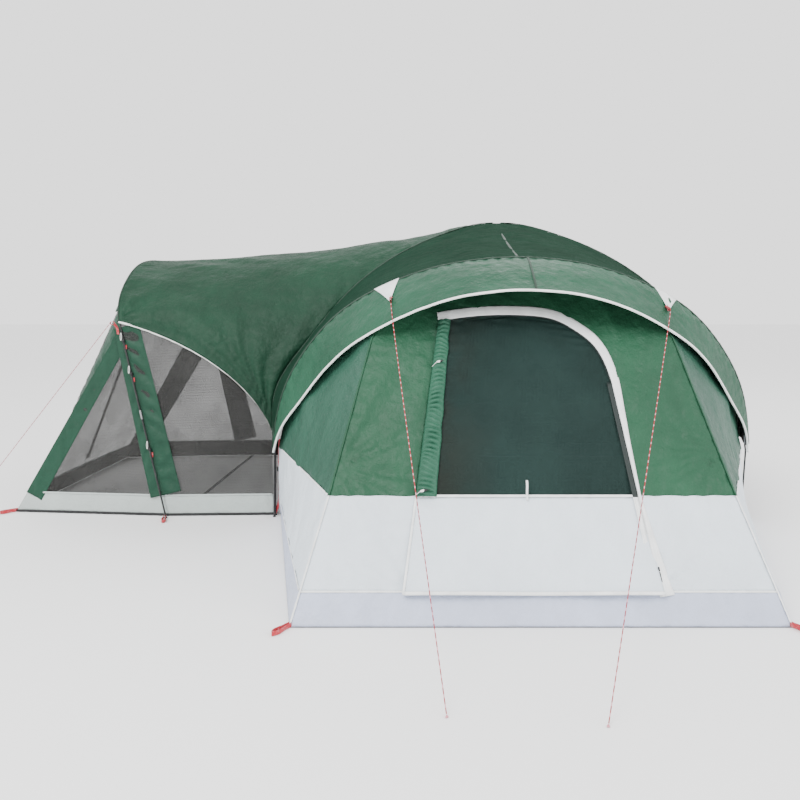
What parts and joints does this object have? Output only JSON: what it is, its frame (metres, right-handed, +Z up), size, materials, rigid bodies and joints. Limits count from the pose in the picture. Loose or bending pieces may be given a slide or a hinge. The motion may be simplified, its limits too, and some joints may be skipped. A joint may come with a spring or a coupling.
{
  "type": "dome tent with screened porch",
  "caption": "Family dome tent with a front bay, a D-shaped zip door and a screened porch under the flysheet's left wing.",
  "frame": {"origin": "on the ground, under the crossing of the two main poles", "axes": "+Z up; -Y towards the front bay and its door; -X towards the screened porch"},
  "size_m": [5.1609, 4.2837, 2.026],
  "materials": {
    "fibreglass_pole": "satin",
    "ferrule_steel": "satin",
    "black_plastic": "satin",
    "red_webbing": "matte",
    "fly_green": "satin",
    "visor_green": "satin",
    "white_piping": "matte",
    "wall_green": "satin",
    "wall_white": "matte",
    "tub_grey": "satin",
    "lining_dark": "matte",
    "window_mesh": "matte",
    "porch_mesh": "matte",
    "sleeve_green": "satin",
    "skirt_grey": "matte",
    "zip_tape": "matte",
    "zip_slider": "satin",
    "guy_cord": "matte",
    "toggle": "gloss"
  },
  "bodies": {
    "tent": {"canopy_piping": "white_piping", "corner_webbing": "red_webbing", "cover_toggles": "toggle", "door_lower_panel": "wall_white", "door_trim": "white_piping", "door_window": "window_mesh", "end_leaf_far": "porch_mesh", "end_leaf_near": "porch_mesh", "end_sleeve_far": "sleeve_green", "end_sleeve_near": "sleeve_green", "fly_back_gore": "fly_green", "fly_front_gore": "fly_green", "fly_porch_canopy": "fly_green", "fly_right_gore": "fly_green", "fly_visor": "visor_green", "front_arch_pole": "fibreglass_pole", "front_wall_lower": "wall_white", "front_wall_upper": "wall_green", "ground_strap": "black_plastic", "groundsheet": "tub_grey", "gusset_lower_left": "wall_white", "gusset_lower_right": "wall_white", "gusset_upper_left": "wall_green", "gusset_upper_right": "wall_green", "guy_line_front_left": "guy_cord", "guy_line_front_right": "guy_cord", "guy_line_knots": "guy_cord", "guy_line_porch": "guy_cord", "guy_loops": "red_webbing", "guy_patches": "white_piping", "lining_back": "lining_dark", "lining_front_roof": "lining_dark", "lining_left": "lining_dark", "lining_right": "lining_dark", "main_pole_lower": "fibreglass_pole", "main_pole_upper": "fibreglass_pole", "peg_loops": "red_webbing", "pole_ferrules": "ferrule_steel", "pole_foot_caps": "black_plastic", "pole_sleeve_far": "sleeve_green", "pole_sleeve_near": "sleeve_green", "porch_arch_pole": "fibreglass_pole", "porch_mesh_far_inner": "porch_mesh", "porch_mesh_far_outer": "porch_mesh", "porch_mesh_near_inner": "porch_mesh", "porch_mesh_near_outer": "porch_mesh", "porch_skirt_end": "skirt_grey", "porch_skirt_far": "skirt_grey", "porch_skirt_near": "skirt_grey", "sleeve_clips": "black_plastic", "tub_wall_front": "tub_grey", "tub_walls_side": "tub_grey", "visor_piping": "white_piping", "window_cover_roll": "wall_green", "window_pull": "white_piping"},
    "door_edge": {"door_edge_tape": "zip_tape"},
    "door_slider": {"door_zip_slider": "zip_slider"},
    "end_leaf_edge_near": {"end_tape_near": "zip_tape"},
    "end_leaf_edge_far": {"end_tape_far": "zip_tape"},
    "end_slider": {"end_zip_slider": "zip_slider"}
  },
  "joints": [
    {"name": "door_gather", "type": "slide", "parent": "tent", "child": "door_edge", "axis": [-1, 0, 0], "range_m": [0, 0.85], "deforming": ["door_window", "door_lower_panel", "window_cover_roll", "cover_toggles", "window_pull"]},
    {"name": "door_zip", "type": "slide", "parent": "tent", "child": "door_slider", "axis": [-0.0938, 0.4995, 0.8612], "range_m": [0, 0.9]},
    {"name": "end_leaf_near_swing", "type": "hinge", "parent": "tent", "child": "end_leaf_edge_near", "pos_m": [-2.67716, 0, 1.59885], "axis": [-0.9369, 0, 0.3497], "range_deg": [0, 22], "deforming": ["end_leaf_near"]},
    {"name": "end_leaf_far_swing", "type": "hinge", "parent": "tent", "child": "end_leaf_edge_far", "pos_m": [-2.67716, 0, 1.59885], "axis": [-0.9369, 0, 0.3497], "range_deg": [-22, 0], "deforming": ["end_leaf_far"]},
    {"name": "end_zip", "type": "slide", "parent": "end_leaf_edge_near", "child": "end_slider", "axis": [0.3497, 0, 0.9369], "range_m": [0, 1.35]}
  ]
}
